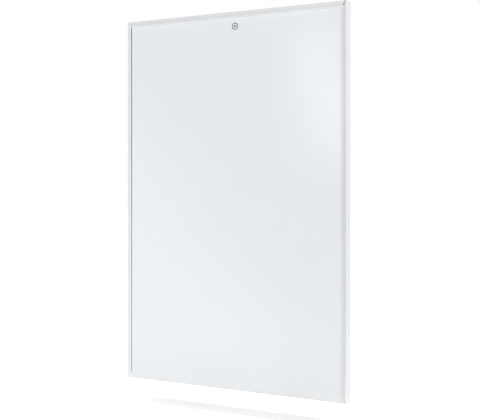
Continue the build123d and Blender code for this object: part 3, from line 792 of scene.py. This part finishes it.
def makeMark(sizes, look):
    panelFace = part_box("radiant_panel")[0].y
    mesh = bmesh.new()
    bmesh.ops.create_circle(
        mesh, cap_ends=True, segments=sizes["ringSteps"], radius=sizes["radius"]
    )
    inside = list(mesh.faces)
    bmesh.ops.inset_region(
        mesh, faces=inside, thickness=sizes["stroke"], use_boundary=True, use_even_offset=True
    )
    bmesh.ops.delete(mesh, geom=inside, context="FACES")
    bmesh.ops.create_circle(mesh, cap_ends=True, segments=sizes["dotSteps"], radius=sizes["dot"])
    printed = bmesh.ops.extrude_face_region(mesh, geom=list(mesh.faces), use_keep_orig=True)
    raised = [item for item in printed["geom"] if isinstance(item, bmesh.types.BMVert)]
    bmesh.ops.translate(mesh, vec=(0, 0, sizes["film"]), verts=raised)
    bmesh.ops.recalc_face_normals(mesh, faces=mesh.faces)
    upright(mesh, sizes["centre"], panelFace)
    ink = moulded("mark_ink", look)
    piece = newPiece("printed_ring", mesh, ink, "heater")
    return piece


makeMark(markSizes, inkLook)
print("printed ring made")

# screws and rivets with their recesses and pins
headCurve = [(0, 0), (0.45, 0.18), (0.82, 0.55), (1, 1)]  # shares out from and down from the crown
crossShape = {"arm": 0.4, "floor": 0.72}  # shares of the cross's reach, and of its size at the top
turning = {"steps": 28, "mergeGap": 0.000001}
coverScrewSizes = {
    "headRadius": 0.0034,
    "headHeight": 0.0020,
    "crownRadius": 0.0021,  # flat middle of the head
    "sideHeight": 0.0011,
    "shankRadius": 0.00172,
    "shankLength": 0.008,
    "crossReach": 0.00165,
    "crossWidth": 0.0007,
    "crossDepth": 0.0011,
    "cornerStep": 0.062,  # from the end screws' line to the first side screw
    "alongSides": 4,
    "alongEnds": 2,
    "twist": 2.1,  # turns each cross from the one before
}
lidScrewSizes = {
    "headRadius": 0.0029,
    "headHeight": 0.0,
    "crownRadius": 0.0024,
    "sideHeight": -0.0001,
    "shankRadius": 0.0015,
    "shankLength": 0.009,
    "crossReach": 0.0015,
    "crossWidth": 0.0006,
    "crossDepth": 0.0010,
    "twist": 1.3,
}
rivetSizes = {
    "headRadius": 0.004,
    "headHeight": 0.0012,
    "shankRadius": 0.002,
    "sheets": 0.003,
    "bulbRadius": 0.0028,
    "bulbLength": 0.0025,
    "bulbRound": 0.0006,
    "bulbEnd": 0.6,  # share of the bulb's radius
    "pinRadius": 0.00125,
    "pinProfile": [  # share of the pin's radius, and height
        (0, 0.00062),
        (0.6, 0.00068),
        (0.96, 0.00055),
        (1, 0.0004),
        (1.03, 0.00115),
        (1.3, 0.0012),
    ],
    "headProfile": [(0.62, 0.00105), (0.86, 0.0006), (1, 0.0001), (1, 0)],  # the same of the head
    "perRow": 3,
    "twist": 0.7,
}


def turnedMesh(profile):
    # spins a half profile of (radius, height) pairs about the Z axis
    mesh = bmesh.new()
    points = [mesh.verts.new((radius, 0, height)) for radius, height in profile]
    edges = [mesh.edges.new(pair) for pair in zip(points, points[1:])]
    bmesh.ops.spin(
        mesh,
        geom=points + edges,
        angle=2 * pi,
        steps=turning["steps"],
        axis=(0, 0, 1),
        cent=(0, 0, 0),
        use_merge=True,
    )
    bmesh.ops.remove_doubles(mesh, verts=mesh.verts, dist=turning["mergeGap"])
    return mesh


def addCross(mesh, sizes):
    # closes the open crown of a screw head with a tapered cross recess
    rim = [edge for edge in mesh.edges if edge.is_boundary]
    top = rim[0].verts[0].co.z
    grid = bmesh.ops.create_grid(mesh, x_segments=3, y_segments=3, size=1)["verts"]
    for vert in grid:
        for axis in (0, 1):
            side = 1 if vert.co[axis] > 0 else -1
            outer = abs(vert.co[axis]) > 0.5  # the grid's lines are at 0.33 and 1
            vert.co[axis] = side * (sizes["crossReach"] if outer else sizes["crossWidth"] / 2)
        vert.co.z = top
    cells = {face for vert in grid for face in vert.link_faces}
    arm = sizes["crossReach"] * crossShape["arm"]
    middles = {face: face.calc_center_median() for face in cells}
    corners = [face for face in cells if min(abs(middles[face].x), abs(middles[face].y)) > arm]
    bmesh.ops.delete(mesh, geom=corners, context="FACES")
    cross = [face for face in cells if face.is_valid]
    ring = [edge for face in cross for edge in face.edges if edge.is_boundary]
    bmesh.ops.bridge_loops(mesh, edges=rim + list(dict.fromkeys(ring)))
    sunk = bmesh.ops.extrude_face_region(mesh, geom=cross)["geom"]
    bmesh.ops.delete(mesh, geom=cross, context="FACES_ONLY")
    floor = [item for item in sunk if isinstance(item, bmesh.types.BMVert)]
    bmesh.ops.scale(mesh, vec=(crossShape["floor"], crossShape["floor"], 1), verts=floor)
    bmesh.ops.translate(mesh, vec=(0, 0, -sizes["crossDepth"]), verts=floor)


def makeScrew(sizes):
    head, crown = sizes["headRadius"], sizes["crownRadius"]
    side, high = sizes["sideHeight"], sizes["headHeight"]
    profile = [
        (crown + (head - crown) * out, high - (high - side) * down) for out, down in headCurve
    ]
    shank, tip = sizes["shankRadius"], -sizes["shankLength"]
    under = 0 if high > 0 else shank - head  # a pan head stands on the sheet, a sunk one is a cone
    if high > 0:
        profile.append((head, 0))
    profile += [(shank, under), (shank, tip + shank), (0, tip)]
    mesh = turnedMesh(profile)
    addCross(mesh, sizes)
    return mesh


def makeRivet(sizes):
    head, shank = sizes["headRadius"], sizes["shankRadius"]
    pin, bulb = sizes["pinRadius"], sizes["bulbRadius"]
    blind = -sizes["sheets"] - sizes["bulbLength"]
    profile = [(pin * share, height) for share, height in sizes["pinProfile"]]
    profile += [(head * share, height) for share, height in sizes["headProfile"]]
    profile += [
        (shank, 0),
        (shank, -sizes["sheets"]),
        (bulb, -sizes["sheets"]),
        (bulb, blind + sizes["bulbRound"]),
        (bulb * sizes["bulbEnd"], blind),
        (0, blind),
    ]
    return turnedMesh(profile)


def repeated(name, one, spots, y, twist):
    # zinc copies of one mesh with their heads towards the wall, at (x, z) spots on the plane y
    data = bpy.data.meshes.new(name)
    one.to_mesh(data)
    one.free()
    mesh = bmesh.new()
    for index, (x, z) in enumerate(spots):
        start = len(mesh.verts)
        mesh.from_mesh(data)
        mesh.verts.ensure_lookup_table()
        fresh = mesh.verts[start:]
        turn = Matrix.Rotation(radians(-90), 4, "X") @ Matrix.Rotation(twist * index, 4, "Z")
        bmesh.ops.transform(mesh, matrix=Matrix.Translation((x, y, z)) @ turn, verts=fresh)
    bpy.data.meshes.remove(data)
    bmesh.ops.recalc_face_normals(mesh, faces=mesh.faces)
    return newPiece(name, mesh, finishes["zinc_steel"], "heater")


def evenly(low, high, count):
    return [low + (high - low) * index / (count - 1) for index in range(count)]


def headCentres(node, headRadius):
    # lowest and highest x and z of the head centres of a node's screws or rivets
    low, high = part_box(node)
    return (
        (low.x + headRadius, high.x - headRadius),
        (low.z + headRadius, high.z - headRadius),
    )


def makeCoverScrews(sizes):
    (left, right), (bottom, top) = headCentres("rear_cover_screws", sizes["headRadius"])
    high = top - sizes["cornerStep"]
    wide = right - sizes["cornerStep"]
    spots = [(x, z) for x in (left, right) for z in evenly(-high, high, sizes["alongSides"])]
    spots += [(x, z) for z in (bottom, top) for x in evenly(-wide, wide, sizes["alongEnds"])]
    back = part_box("rear_cover_screws")[1].y - sizes["headHeight"]
    screws = repeated("cover_screws", makeScrew(sizes), spots, back, sizes["twist"])
    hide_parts("rear_cover_screws")
    return screws


def makeLidScrews(sizes):
    spans = headCentres("lid_screws", sizes["headRadius"])
    spots = [(x, z) for x in spans[0] for z in spans[1]]
    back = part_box("lid_screws")[1].y
    screws = repeated("box_lid_screws", makeScrew(sizes), spots, back, sizes["twist"])
    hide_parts("lid_screws")
    return screws


def makeRivets(sizes):
    (left, right), rows = headCentres("hanger_rivets", sizes["headRadius"])
    spots = [(x, z) for z in rows for x in evenly(left, right, sizes["perRow"])]
    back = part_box("hanger_rivets")[1].y - sizes["headHeight"]
    rivets = repeated("blind_rivets", makeRivet(sizes), spots, back, sizes["twist"])
    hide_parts("hanger_rivets")
    return rivets


makeCoverScrews(coverScrewSizes)
makeLidScrews(lidScrewSizes)
makeRivets(rivetSizes)
print("screws and rivets made")

# floor, world, lamps and camera
stageSizes = {
    "floor": -0.4995,
    "floorSpan": 30.0,
    "floorColour": (0.62, 0.62, 0.62),
    "cameraLift": 0.51,  # added for the camera only, so that the floor is white
    "mirrorLift": 0.30,  # and in reflections
    "worldLight": 0.20,
    "worldColour": (1, 1, 1, 1),
}


def makeFloor(sizes):
    mesh = bmesh.new()
    bmesh.ops.create_grid(mesh, x_segments=1, y_segments=1, size=sizes["floorSpan"] / 2)
    bmesh.ops.translate(mesh, vec=(0, 0, sizes["floor"]), verts=mesh.verts)
    paint = Finish("studio_floor")
    seen = paint.node("ShaderNodeLightPath", out="Is Camera Ray")
    mirrored = paint.node("ShaderNodeLightPath", out="Is Glossy Ray")
    matt = paint.node("ShaderNodeBsdfDiffuse", {}, {"Color": (*sizes["floorColour"], 1)})
    lift = paint.node(
        "ShaderNodeEmission",
        {},
        {"Strength": seen * sizes["cameraLift"] + mirrored * sizes["mirrorLift"]},
    )
    both = paint.node("ShaderNodeAddShader", {}, {0: matt, 1: lift})
    paint.node("ShaderNodeOutputMaterial", {}, {"Surface": both})
    floor = newMesh("studio_floor", mesh, paint.owner)


def makeWorld(sizes):
    world = bpy.data.worlds.new("studio")
    bpy.context.scene.world = world
    sky = Finish("studio", world)
    seen = sky.node("ShaderNodeLightPath", out="Is Camera Ray")
    mirrored = sky.node("ShaderNodeLightPath", out="Is Glossy Ray")
    through = sky.node("ShaderNodeLightPath", out="Is Transmission Ray")
    either = sky.node(
        "ShaderNodeMath",
        {"operation": "ADD", "use_clamp": True},
        {0: seen + mirrored, 1: through},
    )
    colour, light = sizes["worldColour"], sizes["worldLight"]
    plain = sky.node("ShaderNodeBackground", {}, {"Color": colour, "Strength": light})
    white = sky.node("ShaderNodeBackground", {}, {"Color": colour})
    pick = sky.node("ShaderNodeMixShader", {}, {0: either, 1: plain, 2: white})
    sky.node("ShaderNodeOutputWorld", {}, {"Surface": pick})


lampLooks = {  # where each lamp stands from the heater, how wide it looks, and its strength
    "key": {"direction": (0.50, -0.85, 0.14), "spread": 58, "strength": 2.63},
    "side": {"direction": (0.88, 0.42, 0.10), "spread": 40, "strength": 1.58},
    "back": {"direction": (-0.4, 0.9, 0.3), "spread": 60, "strength": 1.0},
    "left": {"direction": (-0.95, 0.30, 0.08), "spread": 50, "strength": 0.9},
    "overhead": {"direction": (0.0, 0.055, 1.0), "spread": 5, "strength": 1.75},
}
nearLampLooks = {  # small soft lamps beside the heater, most of them low
    "low left": {
        "place": (-0.35, -0.55, -0.47),
        "target": (-0.15, -0.05, -0.40),
        "width": 0.6,
        "depth": 0.2,
        "power": 0.27,
    },
    "low right": {
        "place": (0.56, -0.22, -0.475),
        "target": (0.30, -0.05, -0.42),
        "width": 0.35,
        "depth": 0.15,
        "power": 0.2,
    },
    "floor wash": {  # points down and thins the shadow's left end
        "place": (-0.29, -0.04, -0.456),
        "target": (-0.29, -0.04, -0.5),
        "width": 0.10,
        "depth": 0.06,
        "power": 0.012,
    },
    "upper card": {  # the cards only show as soft reflections in the radiant sheet
        "place": (0.132, -0.31, 0.272),
        "target": (0.132, 0.0, 0.272),
        "width": 0.08,
        "depth": 0.33,
        "roll": 12,
        "power": 0.39,
        "reflectionOnly": True,
    },
    "lower card": {
        "place": (-0.395, -0.345, -0.295),
        "target": (-0.395, 0.0, -0.295),
        "width": 1.3,
        "depth": 0.5,
        "roll": -53,
        "power": 1.95,
        "reflectionOnly": True,
    },
}


def makeLamp(name, look):
    lamp = bpy.data.lights.new(name, "SUN")
    lamp.angle = radians(look["spread"])
    lamp.energy = look["strength"]
    holder = newObject(name, lamp)
    holder.rotation_euler = Vector(look["direction"]).to_track_quat("Z", "Y").to_euler()


def makeNearLamp(name, look):
    lamp = bpy.data.lights.new(name, "AREA")
    lamp.shape = "RECTANGLE"
    lamp.size = look["width"]
    lamp.size_y = look["depth"]
    lamp.energy = look["power"]
    holder = newObject(name, lamp)
    place = Vector(look["place"])
    holder.location = place
    aim = (place - Vector(look["target"])).to_track_quat("Z", "Y")
    roll = Quaternion((0, 0, 1), radians(look.get("roll", 0)))
    holder.rotation_euler = (aim @ roll).to_euler()
    holder.visible_camera = False
    holder.visible_diffuse = not look.get("reflectionOnly", False)


cameraLook = {
    "place": (1.1643, -2.0251, 0.0428),
    "turn": 29.9,  # degrees from straight on
    "tilt": 90,  # degrees from straight down
    "lens": 72.15,
    "sensor": 36,
    "shift": -0.0567,
}


def makeCamera(look):
    camera = bpy.data.cameras.new("camera")
    camera.lens = look["lens"]
    camera.sensor_width = look["sensor"]
    camera.shift_y = look["shift"]
    holder = newObject("camera", camera)
    holder.location = look["place"]
    holder.rotation_euler = (radians(look["tilt"]), 0, radians(look["turn"]))
    bpy.context.scene.camera = holder


makeFloor(stageSizes)
makeWorld(stageSizes)
for name, look in lampLooks.items():
    makeLamp(name, look)
for name, look in nearLampLooks.items():
    makeNearLamp(name, look)
makeCamera(cameraLook)
bpy.context.scene.view_settings.view_transform = "Standard"
print("stage set")
